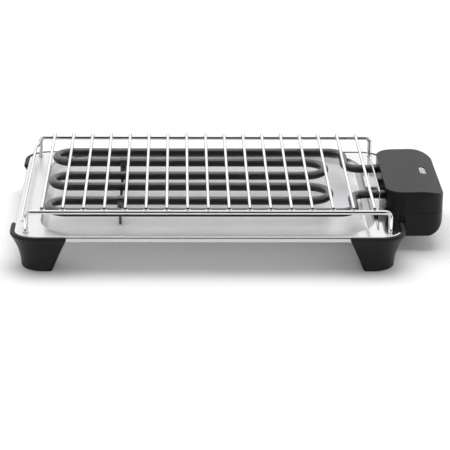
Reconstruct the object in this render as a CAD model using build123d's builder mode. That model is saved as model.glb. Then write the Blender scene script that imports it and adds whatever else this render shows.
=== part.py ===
from build123d import *
import math
import os

# An open electric table grill: a pressed drip tray on four moulded feet, a wire rack standing on the
# tray's corners, and a lift-out heating unit made of a bent tube heater and a plastic connection box.
# The frame stands at the middle of the whole footprint, on the table, with +Z up and the box at +X.

# Fit clearances
slide_clearance = 0.3
snug_clearance = 0.2
touch_gap = 0.1

# Drip tray
sheet = 0.8
tray_length = 375.0
tray_width = 265.0
tray_corner = 22.0
rim_height = 38.0
rim_edge_radius = 1.6
skirt_drop = 5.0
rim_end_width = 24.0
rim_side_width = 7.0
basin_corner = 43.0
basin_drop = 9.0
basin_wall_inset = 6.0
basin_floor_radius = 3.0

# Feet
foot_lip = 4.0
foot_lip_height = 3.0
foot_top_length = 55.2
foot_top_width = 47.0
foot_base_length = 30.7
foot_base_width = 27.0
foot_base_corner = 22.0
foot_toe_in = 6.0
foot_flare_power = 2.0
foot_level_count = 5
foot_inner_corner = 3.0
foot_pocket_wall = 4.0
foot_pocket_height = 18.0
foot_base_edge = 2.4
foot_top_edge = 1.5

# Wire rack
rack_end_inset = 12.0
rack_side_inset = 13.5
rack_above_heater = 5.95
frame_wire = 4.2
cross_wire = 3.0
cross_wire_count = 17
cross_wire_end_inset = 15.5
weld_sink = 0.4
frame_bend = 5.0
leg_hole_clearance = 0.6
leg_socket_depth = 4.0
cross_wire_front_setback = 1.0
cross_wire_back_overhang = 3.0
side_wire_above_rim = 11.5
side_wire_offset = 4.4
side_wire_bend = 2.7

# Tube heater
tube = 8.5
heater_above_rim = 12.0
heater_side_inset = 37.5
heater_left_inset = 31.8
left_bend_diameter = 34.7
right_bend_to_neck = 21.8
neck_to_shield = 26.9
neck_radius = 15.0
terminal_to_shield_end = 16.0

# Heater support
support_wire = 2.8
support_to_left_bend = 69.7
support_overhang = 9.7
support_bend = 5.0
clip_width = 6.0
clip_sheet = 0.8
clip_drop = 3.4

# Heat shield between the tray and the box
shield_sheet = 0.8
shield_to_box = 6.1
shield_end_inset = 14.0
shield_above_heater = 3.35
shield_hem = 2.0
shield_tab_above_rim = 4.0
shield_tab_height = 8.0
shield_tab_reach = 2.0

# Connection box
box_overlap = 11.0
box_length = 57.4
box_width = 140.0
box_corner = 18.0
box_wall = 2.2
box_hang_depth = 21.5
box_left_above_heater = 11.8
box_crest_above_heater = 12.4
box_right_above_heater = 6.6
box_crest_from_left = 34.0
box_top_edge = 1.0
box_shelf = 1.6
box_hang_gap = 1.5
box_inner_corner = 8.0
box_belly_radius = 17.0
box_seam_groove = 0.8

# Box fasteners
screw_shank = 3.0
screw_head = 5.6
screw_head_height = 2.4
screw_length = 30.0
screw_drive_width = 1.0
screw_drive_depth = 1.0
boss_diameter = 7.6
boss_margin = 0.7
boss_inset_left = 9.0
boss_inset_y = 12.0

# Pilot lamp
lens_x_from_right = 15.2
lens_width = 6.0
lens_length = 20.6
lens_gap = 0.5
lens_recess = 0.5
lens_depth = 6.0
lamp_diameter = 5.4
lamp_length = 17.0
lamp_lead = 1.4
lamp_lead_step = 5.0
lamp_lead_bend = 2.2

# Wiring inside the box
tube_end_inset = 6.0
seal_diameter = 7.4
seal_length = 5.0
pin_diameter = 3.0
pin_length = 10.0
block_length = 17.0
block_width = 36.0
block_height = 14.0
block_edge = 3.0
block_screw = 4.0
block_screw_height = 1.6
block_screw_count = 3
block_screw_spacing = 11.0
block_from_lens = 7.6
lead = 2.6
lead_bend = 5.0

# Cord gland in the back wall of the box, left empty
gland_bore = 8.0
gland_body = 11.0
gland_flange = 15.0
gland_flange_sheet = 2.0
gland_below_seam = 11.6
gland_from_right = 28.7

# Places worked out from the sizes above
basin_length = tray_length - 2 * rim_end_width
basin_width = tray_width - 2 * rim_side_width
rack_length = tray_length - 2 * rack_end_inset
rack_width = tray_width - 2 * rack_side_inset
cross_wire_pitch = (rack_length - 2 * cross_wire_end_inset) / (cross_wire_count - 1)
heater_height = rim_height + heater_above_rim
rack_height = heater_height + tube / 2 + rack_above_heater + cross_wire / 2
side_wire_height = rim_height + side_wire_above_rim
box_left = tray_length / 2 - box_overlap
box_right = box_left + box_length
box_floor_height = rim_height - box_hang_depth
box_left_height = heater_height + box_left_above_heater
box_crest_height = heater_height + box_crest_above_heater
box_right_height = heater_height + box_right_above_heater
tray_x = -(box_right - tray_length / 2 - foot_lip) / 2
seam_height = rim_height + box_shelf
shield_x = box_left - shield_to_box
shield_half_width = box_width / 2 - shield_end_inset
shield_top = heater_height + tube / 2 + shield_above_heater
shield_tab_low = rim_height + shield_tab_above_rim
terminal_y = shield_half_width - terminal_to_shield_end
neck_x = shield_x - neck_to_shield
outer_run_y = tray_width / 2 - heater_side_inset
middle_run_y = outer_run_y - left_bend_diameter
inner_run_y = left_bend_diameter / 2
left_bend_reach = tray_length / 2 - heater_left_inset
right_bend_reach = neck_x - right_bend_to_neck
left_radius = left_bend_diameter / 2
right_radius = (middle_run_y - inner_run_y) / 2
support_x = support_to_left_bend - left_bend_reach
support_half_span = middle_run_y + support_overhang
gland_height = seam_height - gland_below_seam
basin_angle = math.degrees(math.atan(basin_wall_inset / basin_drop))
basin_floor = rim_height - basin_drop
bar_height = rack_height - cross_wire / 2 - frame_wire / 2 + weld_sink
leg_x = rack_length / 2
bar_y = rack_width / 2
leg_hole = frame_wire + 2 * leg_hole_clearance
socket_floor = rim_height - sheet - leg_socket_depth
leg_foot = socket_floor + slide_clearance
tube_end_x = box_left + tube_end_inset
lens_x = box_right - lens_x_from_right
block_x = lens_x - block_from_lens
block_base = box_floor_height + box_wall
block_top = block_base + block_height

os.makedirs("parts", exist_ok=True)


def keep(part, name):
    """Label a finished piece and write its file."""
    part.label = name
    export_step(part, f"parts/{name}.step")


def basin_block(grow):
    """The basin's space, grown outwards by a wall."""
    with BuildPart() as block:
        with BuildSketch(Plane.XY.offset(rim_height)):
            with Locations((tray_x, 0)):
                RectangleRounded(basin_length + 2 * grow, basin_width + 2 * grow, basin_corner + grow)
        extrude(amount=-(basin_drop + grow), taper=basin_angle)
        fillet(block.faces().sort_by(Axis.Z)[0].edges(), basin_floor_radius + grow)
    return block.part


def tray_outline(grow):
    """The tray's rounded outline in the current sketch."""
    with Locations((tray_x, 0)):
        RectangleRounded(tray_length + 2 * grow, tray_width + 2 * grow, tray_corner + grow)


# Drip tray: flat rim, turned-down skirt, shallow basin and a hole for each rack leg
with BuildPart() as drip_tray:
    with BuildSketch(Plane.XY.offset(rim_height - skirt_drop)):
        tray_outline(0)
    extrude(amount=skirt_drop)
    fillet(drip_tray.faces().sort_by(Axis.Z)[-1].edges(), rim_edge_radius)
    with BuildSketch(Plane.XY.offset(rim_height - skirt_drop)):
        tray_outline(-sheet)
    extrude(amount=skirt_drop - sheet, mode=Mode.SUBTRACT)
    add(basin_block(sheet))
    add(basin_block(0), mode=Mode.SUBTRACT)
    with BuildSketch(Plane.XY.offset(rim_height)):
        with Locations((tray_x, 0)):
            with GridLocations(rack_length, rack_width, 2, 2):
                Circle(leg_hole / 2)
    extrude(amount=-sheet, mode=Mode.SUBTRACT)
keep(drip_tray.part, "drip_tray")


# Feet: each wraps one corner of the skirt and carries the rim from below
def foot_section(level, side, front):
    """One level of a foot below its lip: a rectangle with a large outer corner, flared outside."""
    opening = level**foot_flare_power
    flare = -foot_toe_in + (foot_lip + foot_toe_in) * opening
    corner = foot_base_corner + (tray_corner + foot_lip - foot_base_corner) * opening
    spans = []
    for top, base in ((foot_top_length, foot_base_length), (foot_top_width, foot_base_width)):
        base_inner = foot_toe_in + base
        spans.append(flare + base_inner + (top - foot_lip - base_inner) * level)
    edge_x = tray_length / 2 + flare
    edge_y = tray_width / 2 + flare
    with BuildSketch(Plane.XY.offset(level * (rim_height - foot_lip_height))) as section:
        with Locations((tray_x + side * (edge_x - spans[0] / 2), front * (edge_y - spans[1] / 2))):
            Rectangle(*spans)
        outer = Vector(tray_x + side * edge_x, front * edge_y)
        corners = section.vertices().sort_by_distance(outer)
        fillet(corners[1:], foot_inner_corner)
        outer_corner = section.vertices().sort_by_distance(outer)[0]
        fillet(outer_corner, corner)
    return section.sketch


def make_foot(side, front):
    """A foot at the corner given by two signs."""
    last = foot_level_count - 1
    sections = [foot_section(step / last, side, front) for step in range(foot_level_count)]
    with BuildPart() as foot:
        loft(sections)
        extrude(sections[-1], amount=foot_lip_height)
        fillet(foot.faces().sort_by(Axis.Z)[0].edges(), foot_base_edge)
        fillet(foot.faces().sort_by(Axis.Z)[-1].edges(), foot_top_edge)
        with BuildSketch(Plane.XY.offset(rim_height - sheet)):
            tray_outline(snug_clearance)
        extrude(amount=sheet, mode=Mode.SUBTRACT)
        with BuildSketch(Plane.XY.offset(rim_height - skirt_drop)):
            tray_outline(snug_clearance)
            with Locations((tray_x, 0)):
                RectangleRounded(
                    tray_length - 2 * sheet - 2 * snug_clearance,
                    tray_width - 2 * sheet - 2 * snug_clearance,
                    tray_corner - sheet - snug_clearance,
                    mode=Mode.SUBTRACT,
                )
        extrude(amount=skirt_drop - sheet, mode=Mode.SUBTRACT)
        add(basin_block(sheet + snug_clearance), mode=Mode.SUBTRACT)
        with BuildSketch(Plane.XY.offset(rim_height - sheet)):
            with Locations((tray_x + side * leg_x, front * bar_y)):
                Circle(leg_hole / 2)
        extrude(amount=-leg_socket_depth, mode=Mode.SUBTRACT)
        base_x = tray_length / 2 - foot_toe_in - foot_base_length / 2
        base_y = tray_width / 2 - foot_toe_in - foot_base_width / 2
        pocket_length = foot_base_length - 2 * foot_pocket_wall
        pocket_width = foot_base_width - 2 * foot_pocket_wall
        with BuildSketch() as pocket:
            with Locations((tray_x + side * base_x, front * base_y)):
                Rectangle(pocket_length, pocket_width)
            outer = Vector(tray_x + side * tray_length / 2, front * tray_width / 2)
            pocket_corners = pocket.vertices().sort_by_distance(outer)
            fillet(pocket_corners[1:], foot_inner_corner)
            outer_corner = pocket.vertices().sort_by_distance(outer)[0]
            fillet(outer_corner, foot_base_corner - foot_pocket_wall - foot_inner_corner)
        extrude(amount=foot_pocket_height, mode=Mode.SUBTRACT)
    return foot.part


for foot_name, foot_side, foot_front in (
    ("foot_front_left", -1, -1),
    ("foot_front_right", 1, -1),
    ("foot_back_left", -1, 1),
    ("foot_back_right", 1, 1),
):
    keep(make_foot(foot_side, foot_front), foot_name)


# Wire rack: a bent frame wire at the front and one at the back, each a bar with two legs
def make_frame_wire(y):
    """A bar along X with both ends bent down into legs."""
    with BuildPart() as frame:
        with BuildLine() as path:
            FilletPolyline(
                (tray_x - leg_x, y, leg_foot),
                (tray_x - leg_x, y, bar_height),
                (tray_x + leg_x, y, bar_height),
                (tray_x + leg_x, y, leg_foot),
                radius=frame_bend,
            )
        with BuildSketch(Plane(origin=path.line @ 0, z_dir=path.line % 0)):
            Circle(frame_wire / 2)
        sweep()
    return frame.part


keep(make_frame_wire(-bar_y), "rack_front_frame")
keep(make_frame_wire(bar_y), "rack_back_frame")

# Side wire of the rack: a thin wire outside the left legs, with its ends coped onto them
side_wire_x = tray_x - leg_x - side_wire_offset
with BuildPart() as rack_side_wire:
    with BuildLine() as side_path:
        FilletPolyline(
            (tray_x - leg_x, bar_y, side_wire_height),
            (side_wire_x, bar_y, side_wire_height),
            (side_wire_x, -bar_y, side_wire_height),
            (tray_x - leg_x, -bar_y, side_wire_height),
            radius=side_wire_bend,
        )
    with BuildSketch(Plane(origin=side_path.line @ 0, z_dir=side_path.line % 0)):
        Circle(cross_wire / 2)
    sweep()
    with Locations((tray_x - leg_x, bar_y, side_wire_height), (tray_x - leg_x, -bar_y, side_wire_height)):
        Cylinder(frame_wire / 2, 2 * frame_wire, mode=Mode.SUBTRACT)
keep(rack_side_wire.part, "rack_side_wire")

# Cross wires: thin straight wires welded across both bars, each sunk a little into them
cross_wire_front = -bar_y + cross_wire_front_setback
cross_wire_length = rack_width - cross_wire_front_setback + cross_wire_back_overhang
for wire_index in range(cross_wire_count):
    wire_x = tray_x + (wire_index - (cross_wire_count - 1) / 2) * cross_wire_pitch
    with BuildPart() as rack_cross_wire:
        with BuildSketch(Plane(origin=(wire_x, cross_wire_front, rack_height), z_dir=(0, 1, 0))):
            Circle(cross_wire / 2)
        extrude(amount=cross_wire_length)
        with Locations((wire_x, -bar_y, bar_height), (wire_x, bar_y, bar_height)):
            Cylinder(frame_wire / 2, 2 * cross_wire, rotation=(0, 90, 0), mode=Mode.SUBTRACT)
    keep(rack_cross_wire.part, f"rack_cross_wire_{wire_index + 1:02d}")

# Tube heater: six runs joined by five bends, with two necks leading to the box
left_x = tray_x - left_bend_reach
right_x = tray_x + right_bend_reach
with BuildPart() as heating_element:
    with BuildLine(Plane.XY.offset(heater_height)) as heater_path:
        tail_1 = Line(
            (tray_x + tube_end_x, terminal_y), (tray_x + neck_x + neck_radius, terminal_y)
        )
        neck_1 = JernArc(tail_1 @ 1, tail_1 % 1, neck_radius, -90)
        rise_1 = Line(neck_1 @ 1, neck_1 @ 1 + (0, outer_run_y - terminal_y - 2 * neck_radius, 0))
        neck_2 = JernArc(rise_1 @ 1, rise_1 % 1, neck_radius, 90)
        run_1 = Line(neck_2 @ 1, (left_x + left_radius, outer_run_y))
        bend_1 = JernArc(run_1 @ 1, run_1 % 1, left_radius, 180)
        run_2 = Line(bend_1 @ 1, (right_x - right_radius, middle_run_y))
        bend_2 = JernArc(run_2 @ 1, run_2 % 1, right_radius, -180)
        run_3 = Line(bend_2 @ 1, (left_x + left_radius, inner_run_y))
        bend_3 = JernArc(run_3 @ 1, run_3 % 1, left_radius, 180)
        run_4 = Line(bend_3 @ 1, (right_x - right_radius, -inner_run_y))
        bend_4 = JernArc(run_4 @ 1, run_4 % 1, right_radius, -180)
        run_5 = Line(bend_4 @ 1, (left_x + left_radius, -middle_run_y))
        bend_5 = JernArc(run_5 @ 1, run_5 % 1, left_radius, 180)
        run_6 = Line(bend_5 @ 1, (tray_x + neck_x - neck_radius, -outer_run_y))
        neck_3 = JernArc(run_6 @ 1, run_6 % 1, neck_radius, 90)
        rise_2 = Line(neck_3 @ 1, neck_3 @ 1 + (0, outer_run_y - terminal_y - 2 * neck_radius, 0))
        neck_4 = JernArc(rise_2 @ 1, rise_2 % 1, neck_radius, -90)
        tail_2 = Line(neck_4 @ 1, (tray_x + tube_end_x, -terminal_y))
    with BuildSketch(Plane(origin=heater_path.line @ 0, z_dir=heater_path.line % 0)):
        Circle(tube / 2)
    sweep()
keep(heating_element.part, "heating_element")

# Cold pins and end seals where the tube ends inside the box
for end_name, end_y in (("back", terminal_y), ("front", -terminal_y)):
    end_plane = Plane(origin=(tray_x + tube_end_x, end_y, heater_height), z_dir=(1, 0, 0))
    with BuildPart() as cold_pin:
        with BuildSketch(end_plane):
            Circle(pin_diameter / 2)
        extrude(amount=pin_length)
    keep(cold_pin.part, f"cold_pin_{end_name}")
    with BuildPart() as end_seal:
        with BuildSketch(end_plane):
            Circle(seal_diameter / 2)
            Circle(pin_diameter / 2 + touch_gap, mode=Mode.SUBTRACT)
        extrude(amount=seal_length)
    keep(end_seal.part, f"end_seal_{end_name}")

# Support: a wire trestle across the runs, with two legs that stand on the basin floor
support_bar_height = heater_height - tube / 2 - support_wire / 2 - touch_gap
with BuildPart() as element_support:
    with BuildLine() as support_path:
        FilletPolyline(
            (tray_x + support_x, -support_half_span, basin_floor),
            (tray_x + support_x, -support_half_span, support_bar_height),
            (tray_x + support_x, support_half_span, support_bar_height),
            (tray_x + support_x, support_half_span, basin_floor),
            radius=support_bend,
        )
    with BuildSketch(Plane(origin=support_path.line @ 0, z_dir=support_path.line % 0)):
        Circle(support_wire / 2)
    sweep()
keep(element_support.part, "element_support")

# Clips: sheet straps over the second and fifth runs, with the trestle's bar through their ends
strap_inner = tube / 2 + touch_gap
strap_outer = strap_inner + clip_sheet
strap_low = support_bar_height - clip_drop
with BuildPart() as element_clips:
    for clip_y in (middle_run_y, -middle_run_y):
        strap_plane = Plane(
            origin=(tray_x + support_x - clip_width / 2, clip_y, heater_height),
            x_dir=(0, 1, 0),
            z_dir=(1, 0, 0),
        )
        with BuildSketch(strap_plane):
            SlotCenterPoint((0, (strap_low - heater_height) / 2), (0, 0), 2 * strap_outer)
            SlotCenterPoint(
                (0, (strap_low - heater_height) / 2), (0, 0), 2 * strap_inner, mode=Mode.SUBTRACT
            )
            with Locations((0, strap_low - heater_height)):
                Rectangle(
                    4 * strap_outer, 4 * strap_outer, align=(Align.CENTER, Align.MAX), mode=Mode.SUBTRACT
                )
        extrude(amount=clip_width)
    with Locations((tray_x + support_x, 0, support_bar_height)):
        Cylinder(
            support_wire / 2 + touch_gap,
            2 * (middle_run_y + 2 * strap_outer),
            rotation=(90, 0, 0),
            mode=Mode.SUBTRACT,
        )
keep(element_clips.part, "element_clips")

# Heat shield: an upright sheet with a rolled top edge, tube holes and two tabs into the box
with BuildPart() as heat_shield:
    with BuildSketch(Plane.YZ.offset(tray_x + shield_x - shield_sheet / 2)):
        with Locations((0, (rim_height + shield_top) / 2)):
            Rectangle(2 * shield_half_width, shield_top - rim_height)
        with Locations((-terminal_y, heater_height), (terminal_y, heater_height)):
            Circle(tube / 2 + touch_gap, mode=Mode.SUBTRACT)
    extrude(amount=shield_sheet)
    with Locations((tray_x + shield_x, 0, shield_top)):
        Cylinder(shield_hem / 2, 2 * shield_half_width, rotation=(90, 0, 0))
    tab_end = box_left + box_wall + shield_tab_reach
    for tab_side in (-1, 1):
        with Locations(
            (
                tray_x + (shield_x + tab_end) / 2,
                tab_side * (shield_half_width - shield_sheet / 2),
                shield_tab_low + shield_tab_height / 2,
            )
        ):
            Box(tab_end - shield_x, shield_sheet, shield_tab_height)
keep(heat_shield.part, "heat_shield")


# Connection box: two moulded shells meeting at a seam level with the tray's rim
def upper_block(inset):
    """The upper half of the box as a solid, shrunk inwards by a wall."""
    left = tray_x + box_left + inset
    right = tray_x + box_right - inset
    crest = left + box_crest_from_left
    with BuildPart() as block:
        with BuildSketch(Plane.XY.offset(seam_height)):
            with Locations(((left + right) / 2, 0)):
                RectangleRounded(right - left, box_width - 2 * inset, box_corner - inset)
        extrude(amount=box_crest_height)
        with BuildSketch(Plane.XZ):
            with BuildLine():
                slope = Line((left, box_left_height - inset), (crest, box_crest_height - inset))
                fall = TangentArc(slope @ 1, (right, box_right_height - inset), tangent=slope % 1)
                Polyline(fall @ 1, (right, seam_height), (left, seam_height), slope @ 0)
            make_face()
        extrude(amount=box_width, both=True, mode=Mode.INTERSECT)
    return block.part


def lower_block(inset):
    """The lower half of the box as a solid, shrunk inwards by a wall."""
    left = tray_x + tray_length / 2 + box_hang_gap + inset
    right = tray_x + box_right - inset
    low = box_floor_height + inset
    with BuildPart() as block:
        with BuildSketch(Plane.XY.offset(low)) as plan:
            with Locations(((left + right) / 2, 0)):
                Rectangle(right - left, box_width - 2 * inset)
            fillet(plan.vertices().group_by(Axis.X)[-1], box_corner - inset)
            fillet(plan.vertices().group_by(Axis.X)[0], box_inner_corner - inset)
        extrude(amount=seam_height - low)
        with BuildSketch(Plane.XZ) as profile:
            with Locations(((left + right) / 2, (low + seam_height) / 2)):
                Rectangle(right - left, seam_height - low)
            belly = profile.vertices().group_by(Axis.X)[-1].sort_by(Axis.Y)[0]
            fillet(belly, box_belly_radius - inset)
        extrude(amount=box_width, both=True, mode=Mode.INTERSECT)
    return block.part


boss_right_x = tray_x + box_right - box_belly_radius - boss_diameter / 2 - boss_margin
boss_left_x = tray_x + tray_length / 2 + box_hang_gap + boss_inset_left
boss_y = box_width / 2 - boss_inset_y
boss_places = [(x, y) for x in (boss_left_x, boss_right_x) for y in (-boss_y, boss_y)]
screw_seat = box_floor_height + screw_head_height + box_wall

with BuildPart() as box_upper_shell:
    add(upper_block(0))
    top_faces = box_upper_shell.faces().filter_by(lambda face: face.normal_at().Z > 0.5)
    side_faces = box_upper_shell.faces().filter_by(lambda face: abs(face.normal_at().Z) < 0.1)
    side_edges = side_faces.edges()
    fillet(top_faces.edges().filter_by(lambda edge: edge in side_edges), box_top_edge)
    chamfer(box_upper_shell.faces().sort_by(Axis.Z)[0].edges(), box_seam_groove)
    add(upper_block(box_wall), mode=Mode.SUBTRACT)
    with BuildSketch(Plane.XY.offset(seam_height)):
        with Locations(*boss_places):
            Circle(boss_diameter / 2)
    extrude(until=Until.NEXT)
    with BuildSketch(Plane.XY.offset(seam_height)):
        with Locations(*boss_places):
            Circle(screw_shank / 2 + touch_gap)
    extrude(amount=screw_length - (seam_height - screw_seat), mode=Mode.SUBTRACT)
    with BuildSketch(Plane.YZ.offset(tray_x + box_left)):
        with Locations((-terminal_y, heater_height), (terminal_y, heater_height)):
            Circle(tube / 2 + snug_clearance)
        for slot_side in (-1, 1):
            with Locations(
                (
                    slot_side * (shield_half_width - shield_sheet / 2),
                    shield_tab_low + shield_tab_height / 2,
                )
            ):
                Rectangle(shield_sheet + 2 * snug_clearance, shield_tab_height + 2 * snug_clearance)
    extrude(amount=box_wall + shield_tab_reach, mode=Mode.SUBTRACT)
    with BuildSketch(Plane.XY.offset(seam_height)):
        with Locations((tray_x + lens_x, 0)):
            SlotOverall(lens_length + 2 * lens_gap, lens_width + 2 * lens_gap, rotation=90)
    extrude(amount=box_crest_height, mode=Mode.SUBTRACT)
keep(box_upper_shell.part, "box_upper_shell")

# Lower shell: a tub outside the tray's skirt, with a shelf that rests on the rim
with BuildPart() as box_lower_shell:
    add(lower_block(0))
    with BuildSketch(Plane.XY.offset(rim_height)):
        with Locations((tray_x + (box_left + box_right) / 2, 0)):
            RectangleRounded(box_length, box_width, box_corner)
    extrude(amount=box_shelf)
    chamfer(box_lower_shell.faces().sort_by(Axis.Z)[-1].edges(), box_seam_groove)
    add(lower_block(box_wall), mode=Mode.SUBTRACT)
    with BuildSketch(Plane.XY.offset(box_floor_height)):
        with Locations(*boss_places):
            Circle(boss_diameter / 2)
    extrude(amount=seam_height - box_floor_height)
    with BuildSketch(Plane.XY.offset(box_floor_height)):
        with Locations(*boss_places):
            Circle(screw_shank / 2 + snug_clearance)
    extrude(amount=seam_height - box_floor_height, mode=Mode.SUBTRACT)
    with BuildSketch(Plane.XY.offset(box_floor_height)):
        with Locations(*boss_places):
            Circle(screw_head / 2 + snug_clearance)
    extrude(amount=screw_seat - box_floor_height, mode=Mode.SUBTRACT)
    with BuildSketch(Plane.XZ.offset(-box_width / 2)):
        with Locations((tray_x + box_right - gland_from_right, gland_height)):
            Circle(gland_body / 2 + touch_gap)
    extrude(amount=box_wall, mode=Mode.SUBTRACT)
keep(box_lower_shell.part, "box_lower_shell")

# Box screws: four pan-head screws driven up from below
with BuildPart() as box_screws:
    with BuildSketch(Plane.XY.offset(screw_seat - screw_head_height)):
        with Locations(*boss_places):
            Circle(screw_head / 2)
    extrude(amount=screw_head_height)
    with BuildSketch(Plane.XY.offset(screw_seat)):
        with Locations(*boss_places):
            Circle(screw_shank / 2)
    extrude(amount=screw_length)
    with BuildSketch(Plane.XY.offset(screw_seat - screw_head_height)):
        with Locations(*boss_places):
            Rectangle(screw_head - 2 * screw_drive_width, screw_drive_width)
            Rectangle(screw_drive_width, screw_head - 2 * screw_drive_width)
    extrude(amount=screw_drive_depth, mode=Mode.SUBTRACT)
keep(box_screws.part, "box_screws")

# Pilot lamp: a clear lens in the sloping top, over a small glow lamp with its two leads
lens_bottom = box_right_height - lens_depth
lamp_height = lens_bottom - lamp_diameter / 2 - touch_gap
with BuildPart() as pilot_lens:
    with BuildSketch(Plane.XY.offset(lens_bottom)):
        with Locations((tray_x + lens_x, 0)):
            SlotOverall(lens_length, lens_width, rotation=90)
    extrude(amount=box_crest_height)
    add(upper_block(lens_recess), mode=Mode.INTERSECT)
keep(pilot_lens.part, "pilot_lens")

with BuildPart() as pilot_lamp:
    with BuildSketch(Plane.XZ.offset(-lamp_length / 2)):
        with Locations((tray_x + lens_x, lamp_height)):
            Circle(lamp_diameter / 2)
    extrude(amount=lamp_length)
    fillet(pilot_lamp.edges(), lamp_diameter / 4)
keep(pilot_lamp.part, "pilot_lamp")

with BuildPart() as lamp_leads:
    for lead_side in (-1, 1):
        with BuildLine() as lead_path:
            FilletPolyline(
                (tray_x + lens_x, lead_side * lamp_length / 2, lamp_height),
                (tray_x + lens_x, lead_side * (lamp_length / 2 + lamp_lead_step), lamp_height),
                (tray_x + lens_x, lead_side * (lamp_length / 2 + lamp_lead_step), block_top),
                radius=lamp_lead_bend,
            )
        with BuildSketch(Plane(origin=lead_path.line @ 0, z_dir=lead_path.line % 0)):
            Circle(lamp_lead / 2)
        sweep(path=lead_path.line)
keep(lamp_leads.part, "lamp_leads")

# Terminal block on the floor of the lower shell, with its clamping screws
block_screw_first = -(block_screw_count - 1) / 2 * block_screw_spacing
block_screw_places = [
    (tray_x + block_x, block_screw_first + place * block_screw_spacing) for place in range(block_screw_count)
]
with BuildPart() as terminal_block:
    with BuildSketch(Plane.XY.offset(block_base)):
        with Locations((tray_x + block_x, 0)):
            Rectangle(block_length, block_width)
    extrude(amount=block_height)
    chamfer(terminal_block.faces().sort_by(Axis.Z)[0].edges(), block_edge)
    with BuildSketch(Plane.XY.offset(block_top)):
        with Locations(*block_screw_places):
            Circle(block_screw / 2 + touch_gap)
    extrude(amount=-block_screw_height, mode=Mode.SUBTRACT)
keep(terminal_block.part, "terminal_block")

with BuildPart() as terminal_screws:
    with BuildSketch(Plane.XY.offset(block_top - block_screw_height)):
        with Locations(*block_screw_places):
            Circle(block_screw / 2)
    extrude(amount=block_screw_height)
    with BuildSketch(Plane.XY.offset(block_top)):
        with Locations(*block_screw_places):
            Rectangle(block_screw, screw_drive_width)
    extrude(amount=-screw_drive_depth, mode=Mode.SUBTRACT)
keep(terminal_screws.part, "terminal_screws")

# Heater leads from the cold pins down to the terminal block
pin_end_x = tube_end_x + pin_length
lead_height = (block_base + block_top) / 2
for lead_name, lead_side in (("back", 1), ("front", -1)):
    with BuildPart() as heater_lead:
        with BuildLine() as heater_lead_path:
            FilletPolyline(
                (tray_x + pin_end_x, lead_side * terminal_y, heater_height),
                (tray_x + block_x, lead_side * terminal_y, heater_height),
                (tray_x + block_x, lead_side * terminal_y, lead_height),
                (tray_x + block_x, lead_side * block_width / 2, lead_height),
                radius=lead_bend,
            )
        with BuildSketch(
            Plane(origin=heater_lead_path.line @ 0, z_dir=heater_lead_path.line % 0)
        ):
            Circle(lead / 2)
        sweep()
    keep(heater_lead.part, f"heater_lead_{lead_name}")

# Cord gland: a flanged bush in the back wall, with an empty bore
with BuildPart() as cord_gland:
    with BuildSketch(Plane.XZ.offset(-box_width / 2)):
        with Locations((tray_x + box_right - gland_from_right, gland_height)):
            Circle(gland_body / 2)
    extrude(amount=box_wall)
    with BuildSketch(Plane.XZ.offset(-box_width / 2)):
        with Locations((tray_x + box_right - gland_from_right, gland_height)):
            Circle(gland_flange / 2)
    extrude(amount=-gland_flange_sheet)
    with BuildSketch(Plane.XZ.offset(-box_width / 2 - gland_flange_sheet)):
        with Locations((tray_x + box_right - gland_from_right, gland_height)):
            Circle(gland_bore / 2)
    extrude(amount=box_wall + gland_flange_sheet, mode=Mode.SUBTRACT)
keep(cord_gland.part, "cord_gland")
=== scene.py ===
"""Looks of an open electric table grill: steel drip tray, wire rack, tube heater and connection box."""

import logging
import math
from dataclasses import dataclass
from enum import Enum
from typing import Any, Iterable, Optional, Sequence, Union

import bpy
from mathutils import Matrix, Vector


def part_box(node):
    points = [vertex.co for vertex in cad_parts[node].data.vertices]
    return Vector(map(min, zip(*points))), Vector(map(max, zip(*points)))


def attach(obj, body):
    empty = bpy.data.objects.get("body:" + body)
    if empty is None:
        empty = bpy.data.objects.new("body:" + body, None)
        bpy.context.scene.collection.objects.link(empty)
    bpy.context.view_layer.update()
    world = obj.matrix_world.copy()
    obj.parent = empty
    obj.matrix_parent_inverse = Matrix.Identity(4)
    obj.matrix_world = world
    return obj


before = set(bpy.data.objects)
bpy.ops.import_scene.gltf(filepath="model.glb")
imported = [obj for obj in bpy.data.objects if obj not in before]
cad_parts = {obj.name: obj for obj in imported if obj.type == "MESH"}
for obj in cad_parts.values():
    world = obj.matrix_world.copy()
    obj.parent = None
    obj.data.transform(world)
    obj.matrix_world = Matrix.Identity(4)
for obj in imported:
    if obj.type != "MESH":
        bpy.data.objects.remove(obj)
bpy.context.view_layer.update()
LOG = logging.getLogger("grill")
MM = 0.001
NOISE_MIDDLE = 0.5
Colour = tuple[float, float, float]
Axes = tuple[float, float, float]
Span = tuple[float, float]
Number = Union[int, float]
SocketKey = Union[str, int]


class Body(Enum):
    """The lift-off bodies that carry the pieces added here."""

    HEATER = "heating_unit"
    RACK = "rack"


def tinted(colour: Colour, factor: float) -> Colour:
    """A colour made lighter or darker."""
    return tuple(channel * factor for channel in colour)


# Shader building


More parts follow.
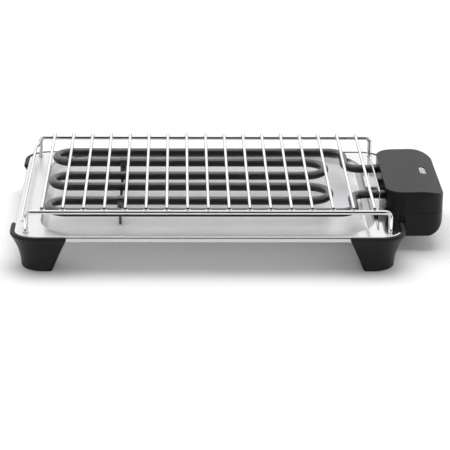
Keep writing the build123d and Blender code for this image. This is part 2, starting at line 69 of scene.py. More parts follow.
class Signal:
    """One output socket of a shader tree, with arithmetic that adds Math nodes."""

    def __init__(self, tree: "ShaderTree", socket: bpy.types.NodeSocket) -> None:
        """Wrap a socket.

        Args:
            tree: The tree that holds the socket.
            socket: The output socket.
        """
        self.tree = tree
        self.socket = socket

    def _math(self, operation: str, first: "Operand", second: "Operand" = 0.0) -> "Signal":
        """Add one Math node and return its output."""
        return self.tree.node("ShaderNodeMath", {"operation": operation}, {0: first, 1: second})

    def __add__(self, other: "Operand") -> "Signal":
        """Sum of two values."""
        return self._math("ADD", self, other)

    __radd__ = __add__

    def __sub__(self, other: "Operand") -> "Signal":
        """Difference of two values."""
        return self._math("SUBTRACT", self, other)

    def __rsub__(self, other: "Operand") -> "Signal":
        """Difference with this value taken away."""
        return self._math("SUBTRACT", other, self)

    def __mul__(self, other: "Operand") -> "Signal":
        """Product of two values."""
        return self._math("MULTIPLY", self, other)

    __rmul__ = __mul__

    def __abs__(self) -> "Signal":
        """Size of a value without its sign."""
        return self._math("ABSOLUTE", self)

    def ramp(self, low: Number, high: Number, start: Number = 0.0, end: Number = 1.0) -> "Signal":
        """Map the span from low to high smoothly onto start to end, held beyond it.

        Args:
            low: The value that gives start.
            high: The value that gives end.
            start: The result at low.
            end: The result at high.

        Returns:
            The mapped signal.
        """
        settings = {"interpolation_type": "SMOOTHSTEP"}
        values = {"Value": self, "From Min": low, "From Max": high, "To Min": start, "To Max": end}
        return self.tree.node("ShaderNodeMapRange", settings, values)

    def fall(self, low: Number, high: Number) -> "Signal":
        """Fall smoothly from 1 at low to 0 at high, held beyond them."""
        return self.ramp(low, high, 1.0, 0.0)

    def swing(self, reach: Number) -> "Signal":
        """Swing of a noise to both sides of its middle, scaled by a reach."""
        return (self - NOISE_MIDDLE) * reach


Operand = Union[Signal, Number]


class ShaderTree:
    """A shader tree that nodes are added to."""

    def __init__(self, tree: bpy.types.NodeTree) -> None:
        """Start from a tree and empty it."""
        self.tree = tree
        self.tree.nodes.clear()

    def node(
        self,
        kind: str,
        settings: Optional[dict[str, Any]] = None,
        values: Optional[dict[SocketKey, Any]] = None,
        output: SocketKey = 0,
    ) -> Signal:
        """Add any node.

        Args:
            kind: The node's type.
            settings: Properties of the node, set before its sockets.
            values: Numbers, colours or signals for its sockets, by name or number.
            output: The output socket that is returned.

        Returns:
            The chosen output.
        """
        made = self.tree.nodes.new(kind)
        for name, value in (settings or {}).items():
            setattr(made, name, value)
        for name, value in (values or {}).items():
            self.feed(made.inputs[name], value)
        return Signal(self, made.outputs[output])

    def feed(self, socket: bpy.types.NodeSocket, value: Any) -> None:
        """Link a signal to a socket, or set the socket's own value.

        Args:
            socket: The input socket.
            value: A signal, a number, a vector or a colour.
        """
        if isinstance(value, Signal):
            self.tree.links.new(value.socket, socket)
        elif socket.type == "RGBA":
            socket.default_value = (*value, 1.0)
        else:
            socket.default_value = value

    def part(self, vector: Signal, letter: str) -> Signal:
        """One coordinate of a vector, by its letter."""
        return self.node("ShaderNodeSeparateXYZ", values={0: vector}, output=letter.upper())

    def mix(self, factor: Operand, low: Any, high: Any) -> Signal:
        """Blend two colours.

        Args:
            factor: 0 for the first colour and 1 for the second.
            low: The first colour.
            high: The second colour.

        Returns:
            The blended colour.
        """
        values = {0: factor, 6: low, 7: high}
        return self.node("ShaderNodeMix", {"data_type": "RGBA"}, values, 2)


@dataclass(frozen=True)
class Pattern:
    """A noise: the size of its features in metres, its finer layers and its scale along each axis."""

    size: float
    detail: float = 2.0
    roughness: float = 0.5
    stretch: Axes = (1.0, 1.0, 1.0)


class Surface(ShaderTree):
    """A material under construction, with one Principled shader."""

    cell_smoothness: float = 0.8

    def __init__(self, name: str) -> None:
        """Start a material.

        Args:
            name: The material's name.
        """
        self.material = bpy.data.materials.new(name)
        self.material.use_nodes = True
        super().__init__(self.material.node_tree)
        self.principled = self.tree.nodes.new("ShaderNodeBsdfPrincipled")
        output = self.tree.nodes.new("ShaderNodeOutputMaterial")
        self.tree.links.new(self.principled.outputs["BSDF"], output.inputs["Surface"])
        self.place = self.node("ShaderNodeTexCoord", output="Object")

    def set(self, **values: Any) -> None:
        """Feed sockets of the Principled shader, named with underscores for spaces."""
        for name, value in values.items():
            self.feed(self.principled.inputs[name.replace("_", " ")], value)

    def skyward(self) -> Signal:
        """How far the surface faces up, from -1 on an underside to 1 on a level top."""
        return self.part(self.node("ShaderNodeTexCoord", output="Normal"), "z")

    def upward(self) -> Signal:
        """How far the surface faces up or down, from 0 on a wall to 1 on a level face."""
        return abs(self.skyward())

    def noise(self, pattern: Pattern) -> Signal:
        """Smooth noise around its middle value.

        Args:
            pattern: The noise's size, layers and stretch.

        Returns:
            The noise value.
        """
        place = self.node("ShaderNodeMapping", values={"Vector": self.place, "Scale": pattern.stretch})
        values = {
            "Vector": place,
            "Scale": 1 / pattern.size,
            "Detail": pattern.detail,
            "Roughness": pattern.roughness,
        }
        return self.node("ShaderNodeTexNoise", values=values)

    def cells(self, size: float) -> Signal:
        """Rounded cells, as on an eroded mould.

        Args:
            size: Size of a cell in metres.

        Returns:
            The distance to the middle of the cell.
        """
        values = {"Vector": self.place, "Scale": 1 / size, "Smoothness": self.cell_smoothness}
        return self.node("ShaderNodeTexVoronoi", {"feature": "SMOOTH_F1"}, values)

    def bump(self, height: Signal, depth: float) -> Signal:
        """Turn a height into a normal.

        Args:
            height: Height, around 0 to 1.
            depth: Real depth in metres of a height of 1.

        Returns:
            The normal.
        """
        return self.node("ShaderNodeBump", values={"Height": height, "Distance": depth})


# Finishes


@dataclass(frozen=True)
class SheetSteel:
    """Rolled stainless sheet, satin in its pressed basin and mirror-bright at its edges and right end. Its
    walls outside the basin are painted darker as painted shade, and its rounded edges darker still as a
    painted dark reflection line.

    A span of level is how flat a face is, from 0 on a wall to 1, where one finish gives way to the next.
    """

    name: str
    rim: Colour = (0.78, 0.78, 0.78)
    satin: Colour = (0.77, 0.775, 0.795)
    mottle_tint: float = 1.06
    streak_tint: float = 0.97
    # Darker rim colour for the outer walls and skirt: painted shade.
    painted_shade_skirt_tint: float = 0.78
    # Much darker rim colour for the rounded edges: a painted dark reflection line.
    painted_reflection_edge_tint: float = 0.45
    rim_roughness: float = 0.30
    mirror_roughness: float = 0.10
    satin_roughness: float = 0.50
    mottle_roughness: float = 0.06
    line_roughness: float = 0.02
    rim_metal: float = 0.70
    satin_metal: float = 0.55
    wall_metal: float = 0.20
    mottle_depth: float = 0.012 * MM
    mottle: Pattern = Pattern(26 * MM, 4.0, 0.6)
    streaks: Pattern = Pattern(5 * MM, 3.0, 0.6, (0.05, 1.0, 1.0))
    lines: Pattern = Pattern(1.2 * MM, stretch=(0.06, 1.0, 1.0))
    mottled: Span = (0.3, 0.7)
    streaked: Span = (0.35, 0.65)
    satin_height: Span = (35.0 * MM, 36.2 * MM)
    polish_place: Span = (118.0 * MM, 142.0 * MM)
    basin_level: Span = (0.2, 0.45)
    floor_level: Span = (0.7, 0.92)
    painted_shade_skirt_level: Span = (0.15, 0.4)
    edge_level: Span = (0.12, 0.22)
    flat_level: Span = (0.62, 0.8)

    def build(self) -> bpy.types.Material:
        """Make the material.

        Returns:
            The material.
        """
        surface = Surface(self.name)
        level = surface.upward()
        low = surface.part(surface.place, "z").fall(*self.satin_height)
        dull = surface.part(surface.place, "x").fall(*self.polish_place)
        basin = low * level.ramp(*self.basin_level) * dull
        wall = basin * level.fall(*self.floor_level)
        # Rounded edges: they get a real mirror finish and also a painted dark reflection line.
        mirror_edge_and_painted_reflection = (1.0 - low) * level.ramp(*self.edge_level) * level.fall(*self.flat_level)
        mirror = 1.0 - (1.0 - mirror_edge_and_painted_reflection) * dull
        mottle = surface.noise(self.mottle)
        streaks = surface.noise(self.streaks).ramp(*self.streaked)
        lines = surface.noise(self.lines).swing(self.line_roughness)
        satin = surface.mix(mottle.ramp(*self.mottled), self.satin, tinted(self.satin, self.mottle_tint))
        bright = surface.mix(streaks, tinted(self.rim, self.streak_tint), self.rim)
        # Walls outside the basin get the darker rim colour: painted shade on the skirt.
        rim = surface.mix(level.ramp(*self.painted_shade_skirt_level), tinted(self.rim, self.painted_shade_skirt_tint), bright)
        sheet = surface.mix(basin, rim, satin)
        satin_step = self.satin_roughness - self.rim_roughness + mottle.swing(self.mottle_roughness)
        mirror_step = self.rim_roughness - self.mirror_roughness
        satin_loss = (self.rim_metal - self.satin_metal) * basin
        wall_loss = (self.satin_metal - self.wall_metal) * wall
        surface.set(
            # The rounded edges take the much darker rim colour: a painted dark reflection line.
            Base_Color=surface.mix(mirror_edge_and_painted_reflection, sheet, tinted(self.rim, self.painted_reflection_edge_tint)),
            Metallic=self.rim_metal - satin_loss - wall_loss + (1.0 - self.rim_metal) * mirror,
            Roughness=self.rim_roughness + satin_step * basin - mirror_step * mirror + lines,
            Normal=surface.bump(mottle * basin, self.mottle_depth),
        )
        return surface.material


@dataclass(frozen=True)
class ChromeWire:
    """Bright chrome plating over drawn wire, with a faint cloud and small pits."""

    name: str
    plating: Colour = (0.90, 0.90, 0.90)
    cloud_tint: float = 0.95
    roughness: float = 0.06
    cloud_roughness: float = 0.04
    pit_roughness: float = 0.1
    pit_depth: float = 0.004 * MM
    cloud: Pattern = Pattern(14 * MM, 3.0)
    pits: Pattern = Pattern(0.5 * MM)
    clear: Span = (0.3, 0.7)
    clouded: Span = (0.4, 0.8)
    pitted: Span = (0.66, 0.8)

    def build(self) -> bpy.types.Material:
        """Make the material.

        Returns:
            The material.
        """
        surface = Surface(self.name)
        cloud = surface.noise(self.cloud)
        pits = surface.noise(self.pits)
        darker = tinted(self.plating, self.cloud_tint)
        haze = cloud.ramp(*self.clouded) * self.cloud_roughness
        surface.set(
            Base_Color=surface.mix(cloud.ramp(*self.clear), darker, self.plating),
            Metallic=1.0,
            Roughness=self.roughness + haze + pits.ramp(*self.pitted) * self.pit_roughness,
            Normal=surface.bump(pits, self.pit_depth),
        )
        return surface.material


class Drawn(Enum):
    """Which way a metal's drawn lines run, as the stretch of their noise."""

    ALONG_X = (0.1, 1.0, 1.0)
    ALONG_Y = (1.0, 0.1, 1.0)


@dataclass(frozen=True)
class PlainMetal:
    """A plated or plain metal with drawn lines and small stains."""

    name: str
    colour: Colour
    roughness: float = 0.3
    stain: float = 0.15
    drawn: Drawn = Drawn.ALONG_X
    stain_roughness: float = 0.2
    line_roughness: float = 0.1
    line_depth: float = 0.01 * MM
    line_size: float = 0.35 * MM
    stains: Pattern = Pattern(6 * MM, 4.0, 0.6)
    stained: Span = (0.35, 0.7)

    def build(self) -> bpy.types.Material:
        """Make the material.

        Returns:
            The material.
        """
        surface = Surface(self.name)
        stains = surface.noise(self.stains)
        lines = surface.noise(Pattern(self.line_size, stretch=self.drawn.value))
        darker = tinted(self.colour, 1 - self.stain)
        wear = stains.swing(self.stain_roughness) + lines.swing(self.line_roughness)
        surface.set(
            Base_Color=surface.mix(stains.ramp(*self.stained), self.colour, darker),
            Metallic=1.0,
            Roughness=self.roughness + wear,
            Normal=surface.bump(lines, self.line_depth),
        )
        return surface.material


@dataclass(frozen=True)
class HeaterSheath:
    """Dark annealed sheath of a tube heater, with a soft paler painted highlight on its upper side."""

    name: str
    oxide: Colour = (0.045, 0.046, 0.047)
    # Paler colour for the upper side: a painted highlight.
    painted_highlight_colour: Colour = (0.19, 0.19, 0.19)
    patch_share: float = 0.2
    roughness: float = 0.36
    patch_roughness: float = 0.15
    grain_roughness: float = 0.08
    grain_depth: float = 0.02 * MM
    patches: Pattern = Pattern(18 * MM, 4.0, 0.6)
    grain: Pattern = Pattern(0.45 * MM, 3.0, 0.6)
    patched: Span = (0.42, 0.75)
    painted_highlight_side: Span = (0.1, 0.75)

    def build(self) -> bpy.types.Material:
        """Make the material.

        Returns:
            The material.
        """
        surface = Surface(self.name)
        patches = surface.noise(self.patches)
        grain = surface.noise(self.grain)
        # The upper side, broken up by random patches, is painted paler: a painted highlight.
        upper = surface.skyward().ramp(*self.painted_highlight_side)
        cover = 1.0 - self.patch_share + patches.ramp(*self.patched) * self.patch_share
        wear = patches.swing(self.patch_roughness) + grain.swing(self.grain_roughness)
        surface.set(
            Base_Color=surface.mix(upper * cover, self.oxide, self.painted_highlight_colour),
            Metallic=1.0,
            Roughness=self.roughness + wear,
            Normal=surface.bump(grain, self.grain_depth),
        )
        return surface.material


class Grain(Enum):
    """How deep a mould's eroded grain is, in metres."""

    FINE = 0.010 * MM
    COARSE = 0.025 * MM


@dataclass(frozen=True)
class MouldedPlastic:
    """Black moulded plastic with a fine grain, dull on its level faces and smoother on its walls. Its
    level faces are painted lighter than its walls: painted light on the tops and painted shade on the
    walls.
    """

    name: str
    # Level faces get a lighter colour than walls: painted light on the tops.
    top: Colour = (0.022, 0.023, 0.024)
    # Walls get a darker colour: painted shade.
    wall: Colour = (0.004, 0.004, 0.0042)
    cloud_tint: float = 1.4
    cloud_share: float = 0.1
    top_roughness: float = 0.50
    wall_roughness: float = 0.30
    cloud_roughness: float = 0.06
    scuff_roughness: float = 0.05
    shine: float = 0.18
    grain: Grain = Grain.FINE
    cell: float = 0.7 * MM
    cloud: Pattern = Pattern(22 * MM, 3.0)
    scuffs: Pattern = Pattern(3 * MM, 5.0, 0.7)
    clouded: Span = (0.3, 0.8)
    scuffed: Span = (0.6, 0.75)
    top_level: Span = (0.6, 0.85)

    def build(self) -> bpy.types.Material:
        """Make the material.

        Returns:
            The material.
        """
        surface = Surface(self.name)
        level = surface.upward().ramp(*self.top_level)
        cloud = surface.noise(self.cloud)
        scuffs = surface.noise(self.scuffs).ramp(*self.scuffed)
        # Colour blended from wall to top by how level the face is: painted light and shade.
        painted_light_tone = surface.mix(level, self.wall, self.top)
        bleach = cloud.ramp(*self.clouded) * self.cloud_share
        step = self.top_roughness - self.wall_roughness
        wear = cloud.swing(self.cloud_roughness) + scuffs * self.scuff_roughness
        surface.set(
            Base_Color=surface.mix(bleach, painted_light_tone, tinted(self.top, self.cloud_tint)),
            Roughness=self.wall_roughness + step * level + wear,
            Normal=surface.bump(surface.cells(self.cell), self.grain.value),
            Specular_IOR_Level=self.shine,
        )
        return surface.material


@dataclass(frozen=True)
class FiredCeramic:
    """Unglazed electrical ceramic with small specks."""

    name: str
    colour: Colour = (0.80, 0.77, 0.70)
    speck_tint: float = 0.86
    roughness: float = 0.72
    speck_roughness: float = 0.15
    speck_depth: float = 0.03 * MM
    specks: Pattern = Pattern(0.8 * MM, 4.0, 0.7)
    specked: Span = (0.45, 0.75)

    def build(self) -> bpy.types.Material:
        """Make the material.

        Returns:
            The material.
        """
        surface = Surface(self.name)
        specks = surface.noise(self.specks)
        darker = tinted(self.colour, self.speck_tint)
        surface.set(
            Base_Color=surface.mix(specks.ramp(*self.specked), self.colour, darker),
            Roughness=self.roughness + specks.swing(self.speck_roughness),
            Normal=surface.bump(specks, self.speck_depth),
        )
        return surface.material


@dataclass(frozen=True)
class SoftSleeve:
    """Braided sleeve or moulded rubber, as a dull skin with a fine weave."""

    name: str
    colour: Colour
    roughness: float = 0.75
    weave: float = 0.9 * MM
    weave_depth: float = 0.05 * MM
    dirt_tint: float = 0.8
    dirt_roughness: float = 0.15
    dirt: Pattern = Pattern(4 * MM, 3.0)
    dirty: Span = (0.4, 0.75)

    def build(self) -> bpy.types.Material:
        """Make the material.

        Returns:
            The material.
        """
        surface = Surface(self.name)
        dirt = surface.noise(self.dirt)
        darker = tinted(self.colour, self.dirt_tint)
        surface.set(
            Base_Color=surface.mix(dirt.ramp(*self.dirty), self.colour, darker),
            Roughness=self.roughness + dirt.swing(self.dirt_roughness),
            Normal=surface.bump(surface.cells(self.weave), self.weave_depth),
        )
        return surface.material


@dataclass(frozen=True)
class LensPlastic:
    """Pale moulded lens with a polished face."""

    name: str
    colour: Colour = (0.60, 0.61, 0.62)
    roughness: float = 0.16
    coat: float = 0.5
    haze_tint: float = 0.9
    haze_roughness: float = 0.1
    haze: Pattern = Pattern(2.5 * MM, 3.0)
    clear: Span = (0.3, 0.7)

    def build(self) -> bpy.types.Material:
        """Make the material.

        Returns:
            The material.
        """
        surface = Surface(self.name)
        haze = surface.noise(self.haze)
        darker = tinted(self.colour, self.haze_tint)
        surface.set(
            Base_Color=surface.mix(haze.ramp(*self.clear), darker, self.colour),
            Roughness=self.roughness + haze.swing(self.haze_roughness),
            Coat_Weight=self.coat,
        )
        return surface.material


# Geometry node building


class NodeTool:
    """A geometry node tree with named inputs, turned into a plain mesh when it is used."""

    def __init__(self, name: str, inputs: dict[str, str]) -> None:
        """Start a tree.

        Args:
            name: The tree's name.
            inputs: Socket types by input name.
        """
        self.tree = bpy.data.node_groups.new(name, "GeometryNodeTree")
        self.tree.interface.new_socket("Geometry", in_out="INPUT", socket_type="NodeSocketGeometry")
        self.identifiers = {
            label: self.tree.interface.new_socket(label, in_out="INPUT", socket_type=kind).identifier
            for label, kind in inputs.items()
        }
        self.tree.interface.new_socket("Geometry", in_out="OUTPUT", socket_type="NodeSocketGeometry")
        self.start = self.tree.nodes.new("NodeGroupInput")
        self.end = self.tree.nodes.new("NodeGroupOutput")

    def node(
        self, kind: str, values: Optional[dict[SocketKey, Any]] = None, **settings: Any
    ) -> bpy.types.Node:
        """Add a node.

        Args:
            kind: The node's type.
            values: Numbers or output sockets for its inputs, by name or number.
            **settings: Properties of the node.

        Returns:
            The node.
        """
        made = self.tree.nodes.new(kind)
        for name, value in settings.items():
            setattr(made, name, value)
        for name, value in (values or {}).items():
            if isinstance(value, bpy.types.NodeSocket):
                self.tree.links.new(value, made.inputs[name])
            else:
                made.inputs[name].default_value = value
        return made

    def input(self, label: str) -> bpy.types.NodeSocket:
        """The tree's own input of that name."""
        return self.start.outputs[label]

    def close(self, instances: bpy.types.NodeSocket) -> None:
        """Realise the instances, give them their material and end the tree.

        Args:
            instances: The output socket that holds the instances.
        """
        real = self.node("GeometryNodeRealizeInstances", {0: instances})
        smooth = self.node("GeometryNodeSetShadeSmooth", {0: real.outputs[0]})
        paint = {0: smooth.outputs[0], "Material": self.input("Material")}
        painted = self.node("GeometryNodeSetMaterial", paint)
        self.tree.links.new(painted.outputs[0], self.end.inputs[0])

    def make(self, name: str, points: Iterable[Vector], values: dict[str, Any]) -> bpy.types.Object:
        """Run the tree on a set of points.

        Args:
            name: The finished piece's name.
            points: Points in the row frame.
            values: Values of the tree's inputs, by name.

        Returns:
            A plain mesh object at the origin.
        """
        seed = bpy.data.meshes.new(name + "_points")
        seed.from_pydata([tuple(point) for point in points], [], [])
        source = bpy.data.objects.new(name + "_source", seed)
        bpy.context.scene.collection.objects.link(source)
        modifier = source.modifiers.new("tool", "NODES")
        modifier.node_group = self.tree
        for label, value in values.items():
            modifier[self.identifiers[label]] = value
        graph = bpy.context.evaluated_depsgraph_get()
        mesh = bpy.data.meshes.new_from_object(source.evaluated_get(graph), depsgraph=graph)
        source.modifiers.remove(modifier)
        bpy.data.objects.remove(source)
        bpy.data.meshes.remove(seed)
        mesh.name = name
        piece = bpy.data.objects.new(name, mesh)
        bpy.context.scene.collection.objects.link(piece)
        return piece


def bead_tool(rings: int = 10) -> NodeTool:
    """A tree that sets a rounded bead on each point.

    Args:
        rings: Rings of faces from pole to pole of a bead.

    Returns:
        The tree, with the inputs Radii, Segments and Material.
    """
    inputs = {"Radii": "NodeSocketVector", "Segments": "NodeSocketInt", "Material": "NodeSocketMaterial"}
    tool = NodeTool("beads", inputs)
    ball = {"Segments": tool.input("Segments"), "Rings": rings, "Radius": 1.0}
    bead = tool.node("GeometryNodeMeshUVSphere", ball)
    spread = {"Points": tool.input("Geometry"), "Instance": bead.outputs[0], "Scale": tool.input("Radii")}
    placed = tool.node("GeometryNodeInstanceOnPoints", spread)
    tool.close(placed.outputs[0])
    return tool


def rib_tool(sides: int = 12) -> NodeTool:
    """A tree that lays a short round rib on each point, tilted about Y.

    Args:
        sides: Faces around a rib.

    Returns:
        The tree, with the inputs Length, Radius, Tilt and Material.
    """
    inputs = {
        "Length": "NodeSocketFloat",
        "Radius": "NodeSocketFloat",
        "Tilt": "NodeSocketFloat",
        "Material": "NodeSocketMaterial",
    }
    tool = NodeTool("ribs", inputs)
    rod = {"Vertices": sides, "Radius": tool.input("Radius"), "Depth": tool.input("Length")}
    rib = tool.node("GeometryNodeMeshCylinder", rod, fill_type="TRIANGLE_FAN")
    turn = tool.node("ShaderNodeCombineXYZ", {"Y": tool.input("Tilt")})
    spread = {"Points": tool.input("Geometry"), "Instance": rib.outputs[0], "Rotation": turn.outputs[0]}
    placed = tool.node("GeometryNodeInstanceOnPoints", spread)
    tool.close(placed.outputs[0])
    return tool


def dress(material: bpy.types.Material, *nodes: str) -> None:
    """Give CAD nodes a finish.

    Args:
        material: The finish.
        *nodes: The nodes' names.
    """
    for node in nodes:
        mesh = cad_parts[node].data
        mesh.materials.clear()
        mesh.materials.append(material)
        LOG.info("dressed %s in %s", node, material.name)


def middle(node: str) -> Vector:
    """The middle of a CAD node's box."""
    low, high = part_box(node)
    return (low + high) / 2


def add_piece(piece: bpy.types.Object, body: Body) -> None:
    """Let a finished piece ride on a body and log it.

    Args:
        piece: The piece.
        body: The body that carries it.
    """
    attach(piece, body.value)
    LOG.info("added %s on %s", piece.name, body.value)


# Sub-assemblies


@dataclass
class TrayBase:
    """The pressed drip tray and its four moulded feet."""

    feet: tuple[str, ...] = ("foot_front_left", "foot_front_right", "foot_back_left", "foot_back_right")
    # The feet's darker wall colour is painted shade.
    foot_plastic: MouldedPlastic = MouldedPlastic(
        "foot_plastic", wall=(0.006, 0.006, 0.0062), wall_roughness=0.42, grain=Grain.COARSE
    )

    def build(self) -> None:
        """Dress the tray and the feet."""
        dress(SheetSteel("tray_steel").build(), "drip_tray")
        dress(self.foot_plastic.build(), *self.feet)


@dataclass
class WireRack:
    """The lift-off rack: two frame wires, a side wire, thin cross wires and their welds."""

    bars: tuple[str, str] = ("rack_front_frame", "rack_back_frame")
    side_wire: str = "rack_side_wire"
    wire_count: int = 17
    weld_radii: Axes = (3.0 * MM, 1.6 * MM, 0.8 * MM)
    side_weld_radii: Axes = (0.8 * MM, 1.7 * MM, 1.5 * MM)
    weld_segments: int = 16
    weld_height: float = 0.15 * MM

    def wires(self) -> list[str]:
        """Names of the cross wires, from left to right."""
        return [f"rack_cross_wire_{place:02d}" for place in range(1, self.wire_count + 1)]

    def crossings(self) -> list[Vector]:
        """Where each cross wire meets the two frame wires.

        Returns:
            The places of the welds, kept back from the cross wires' front ends.
        """
        found = []
        for bar in self.bars:
            for wire in self.wires():
                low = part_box(wire)[0]
                y = max(low.y + self.weld_radii[1] / 2, middle(bar).y)
                found.append(Vector((middle(wire).x, y, low.z + self.weld_height)))
        return found

    def side_joints(self) -> list[Vector]:
        """Where the side wire meets the two left legs."""
        height = middle(self.side_wire).z
        return [Vector((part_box(bar)[0].x, middle(bar).y, height)) for bar in self.bars]

    def build(self) -> None:
        """Dress the wires and add the welds."""
        chrome = ChromeWire("rack_chrome").build()
        dress(chrome, *self.bars, self.side_wire, *self.wires())
        tool = bead_tool()
        welds = (
            ("rack_welds", self.crossings(), self.weld_radii),
            ("side_wire_welds", self.side_joints(), self.side_weld_radii),
        )
        for name, points, radii in welds:
            values = {"Radii": radii, "Segments": self.weld_segments, "Material": chrome}
            add_piece(tool.make(name, points, values), Body.RACK)


@dataclass
class TubeHeater:
    """The bent tube heater with its support, clips and heat shield."""

    support: PlainMetal = PlainMetal("support_wire", colour=(0.14, 0.14, 0.145), roughness=0.35)
    plated: PlainMetal = PlainMetal("plated_steel", colour=(0.66, 0.66, 0.67), roughness=0.28)
    clips: PlainMetal = PlainMetal("clip_steel", colour=(0.17, 0.17, 0.175), roughness=0.24)
    shield: PlainMetal = PlainMetal(
        "shield_steel", colour=(0.78, 0.78, 0.79), roughness=0.16, stain=0.08, drawn=Drawn.ALONG_Y
    )

    def build(self) -> None:
        """Dress the heater and what holds it."""
        dress(HeaterSheath("heater_sheath").build(), "heating_element")
        dress(self.support.build(), "element_support")
        dress(self.plated.build(), "cold_pin_back", "cold_pin_front", "box_screws")
        dress(self.clips.build(), "element_clips")
        dress(self.shield.build(), "heat_shield")


@dataclass
class ConnectionBox:
    """The moulded box at the end of the heater, with its pilot lamp and wiring."""

    # The box's lighter top colour is painted light.
    plastic: MouldedPlastic = MouldedPlastic("box_plastic", top=(0.032, 0.033, 0.034), top_roughness=0.52)
    lamp: LensPlastic = LensPlastic("lamp_glass", colour=(0.75, 0.45, 0.30), roughness=0.08)
    sleeve: SoftSleeve = SoftSleeve("lead_sleeve", colour=(0.62, 0.60, 0.54))
    brass: PlainMetal = PlainMetal("brass", colour=(0.70, 0.52, 0.24))
    rubber: SoftSleeve = SoftSleeve("gland_rubber", colour=(0.02, 0.02, 0.02), roughness=0.65)
    rib_count: int = 9
    rib_length: float = 4.4 * MM
    rib_radius: float = 0.45 * MM
    rib_end_gap: float = 3.0 * MM
    lens_slope: float = math.radians(6.6)

    def lens_ribs(self, material: bpy.types.Material) -> bpy.types.Object:
        """Ribs across the lens, half sunk in its face.

        Args:
            material: The lens's finish.

        Returns:
            The ribs as one piece.
        """
        low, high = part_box("pilot_lens")
        half = (high.x - low.x) / 2
        height = high.z - half * math.tan(self.lens_slope)
        first = low.y + self.rib_end_gap
        step = (high.y - low.y - 2 * self.rib_end_gap) / (self.rib_count - 1)
        points = [Vector((low.x + half, first + place * step, height)) for place in range(self.rib_count)]
        values = {
            "Length": self.rib_length,
            "Radius": self.rib_radius,
            "Tilt": math.pi / 2 + self.lens_slope,
            "Material": material,
        }
        return rib_tool().make("lens_ribs", points, values)

    def build(self) -> None:
        """Dress the box and what it holds, and add the ribs of the lens."""
        dress(self.plastic.build(), "box_upper_shell", "box_lower_shell")
        lens = LensPlastic("lens").build()
        dress(lens, "pilot_lens")
        add_piece(self.lens_ribs(lens), Body.HEATER)
        dress(self.lamp.build(), "pilot_lamp")
        dress(self.sleeve.build(), "lamp_leads", "heater_lead_back", "heater_lead_front")
        dress(FiredCeramic("ceramic").build(), "terminal_block", "end_seal_back", "end_seal_front")
        dress(self.brass.build(), "terminal_screws")
        dress(self.rubber.build(), "cord_gland")


# Studio


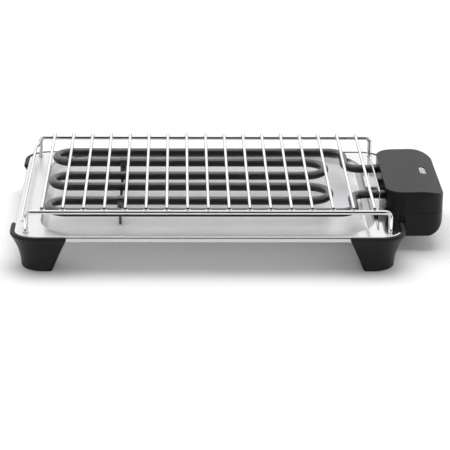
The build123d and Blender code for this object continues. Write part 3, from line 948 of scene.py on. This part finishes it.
@dataclass
class Studio:
    """Pale floor, soft light and the camera.

    The spans ahead and beside are parts of a direction's unit vector, between which the room turns dim.
    """

    floor_half: float = 6.0
    floor_colour: Colour = (0.92, 0.92, 0.92)
    floor_roughness: float = 0.9
    floor_shine: float = 0.1
    back_flag: Span = (0.20, 4.0)
    front_flag: Span = (-5.0, -0.26)
    flag_half: float = 3.0
    flag_height: float = 1.0 * MM
    flag_colour: Colour = (0.05, 0.05, 0.05)
    sky: Colour = (1.15, 1.15, 1.15)
    dim: Colour = (0.03, 0.03, 0.03)
    ahead_x: Span = (0.13, 0.22)
    ahead_y: Span = (-0.42, -0.28)
    ahead_z: Span = (0.36, 0.50)
    beside_x: Span = (0.28, 0.42)
    beside_y: Span = (0.13, 0.22)
    box_light_watts: float = 17.0
    box_light_size: Span = (1.6, 1.6)
    box_light_place: Axes = (0.0, 0.35, 1.7)
    fill_watts: float = 22.0
    fill_size: Span = (1.5, 0.5)
    fill_place: Axes = (0.0, -2.2, 0.45)
    camera_place: Axes = (-0.0512, -2.01846, 0.73205)
    camera_yaw: float = math.radians(-1.386)
    camera_pitch: float = math.radians(-19.863)
    camera_roll: float = math.radians(-0.515)
    camera_lens: float = 168.0
    camera_clip: Span = (0.05, 50.0)
    sensor: float = 36.0

    def sheet(
        self, name: str, low: Sequence[float], high: Sequence[float], colour: Colour
    ) -> bpy.types.Object:
        """Lay a flat rectangle that isn't part of the object.

        Args:
            name: Its name.
            low: Its lowest corner.
            high: Its highest corner, at the same height.
            colour: Its colour.

        Returns:
            The staged rectangle.
        """
        mesh = bpy.data.meshes.new(name)
        corners = [tuple(low), (high[0], low[1], low[2]), tuple(high), (low[0], high[1], low[2])]
        mesh.from_pydata(corners, [], [(0, 1, 2, 3)])
        made = bpy.data.objects.new(name, mesh)
        bpy.context.scene.collection.objects.link(made)
        surface = Surface(name)
        surface.set(Base_Color=colour, Roughness=self.floor_roughness, Specular_IOR_Level=self.floor_shine)
        mesh.materials.append(surface.material)
        return made

    def lay_floor(self) -> None:
        """Lay a plain pale floor under the feet, and dim flags that only reflections see."""
        half = self.floor_half
        self.sheet("floor", (-half, -half, 0), (half, half, 0), self.floor_colour)
        for name, span in (("back_flag", self.back_flag), ("front_flag", self.front_flag)):
            near = (-self.flag_half, span[0], self.flag_height)
            far = (self.flag_half, span[1], self.flag_height)
            flag = self.sheet(name, near, far, self.flag_colour)
            flag.visible_camera = False
            flag.visible_diffuse = False
            flag.visible_shadow = False

    def light_room(self) -> None:
        """Light the room all round, with dim strips ahead and beside that the bright wires reflect."""
        world = bpy.data.worlds.new("room")
        bpy.context.scene.world = world
        world.use_nodes = True
        tree = ShaderTree(world.node_tree)
        direction = tree.node("ShaderNodeTexCoord", output="Generated")
        x, y, z = (tree.part(direction, letter) for letter in "xyz")
        off_middle = abs(x).ramp(*self.ahead_x) * z.fall(*self.ahead_z)
        ahead = y.fall(*self.ahead_y) * (1.0 - off_middle)
        beside = abs(x).ramp(*self.beside_x) * abs(y).fall(*self.beside_y)
        room = tree.mix((1.0 - ahead) * (1.0 - beside), self.dim, self.sky)
        sky = tree.node("ShaderNodeBackground", values={"Color": room, "Strength": 1.0})
        output = tree.tree.nodes.new("ShaderNodeOutputWorld")
        tree.tree.links.new(sky.socket, output.inputs["Surface"])

    def hang_light(self, name: str, watts: float, size: Span, place: Axes) -> None:
        """Hang a soft rectangular light that points at the middle of the object and isn't mirrored.

        Args:
            name: Its name.
            watts: Its power.
            size: Its width and height.
            place: Its middle.
        """
        lamp = bpy.data.lights.new(name, "AREA")
        lamp.shape = "RECTANGLE"
        lamp.energy = watts
        lamp.size, lamp.size_y = size
        holder = bpy.data.objects.new(name, lamp)
        holder.location = place
        holder.rotation_euler = (-holder.location).to_track_quat("-Z", "Y").to_euler()
        holder.visible_glossy = False
        bpy.context.scene.collection.objects.link(holder)

    def aim(self) -> None:
        """Set up the camera at the photographed angle."""
        data = bpy.data.cameras.new("camera")
        data.lens = self.camera_lens
        data.sensor_width = self.sensor
        data.clip_start, data.clip_end = self.camera_clip
        camera = bpy.data.objects.new("camera", data)
        bpy.context.scene.collection.objects.link(camera)
        turn = (
            Matrix.Rotation(self.camera_yaw, 4, "Z")
            @ Matrix.Rotation(self.camera_pitch, 4, "X")
            @ Matrix.Rotation(self.camera_roll, 4, "Y")
        )
        level = Matrix.Rotation(math.pi / 2, 4, "X")
        camera.matrix_world = Matrix.Translation(self.camera_place) @ turn @ level
        bpy.context.scene.camera = camera

    def build(self) -> None:
        """Set up the floor, the light and the camera."""
        self.lay_floor()
        self.light_room()
        self.hang_light("soft_box", self.box_light_watts, self.box_light_size, self.box_light_place)
        self.hang_light("fill", self.fill_watts, self.fill_size, self.fill_place)
        self.aim()
        bpy.context.scene.view_settings.view_transform = "Standard"


def main() -> None:
    """Build every sub-assembly and the studio."""
    logging.basicConfig(level=logging.INFO, format="%(name)s: %(message)s")
    for assembly in (TrayBase(), WireRack(), TubeHeater(), ConnectionBox(), Studio()):
        LOG.info("building %s", type(assembly).__name__)
        assembly.build()


if __name__ == "__main__":
    main()
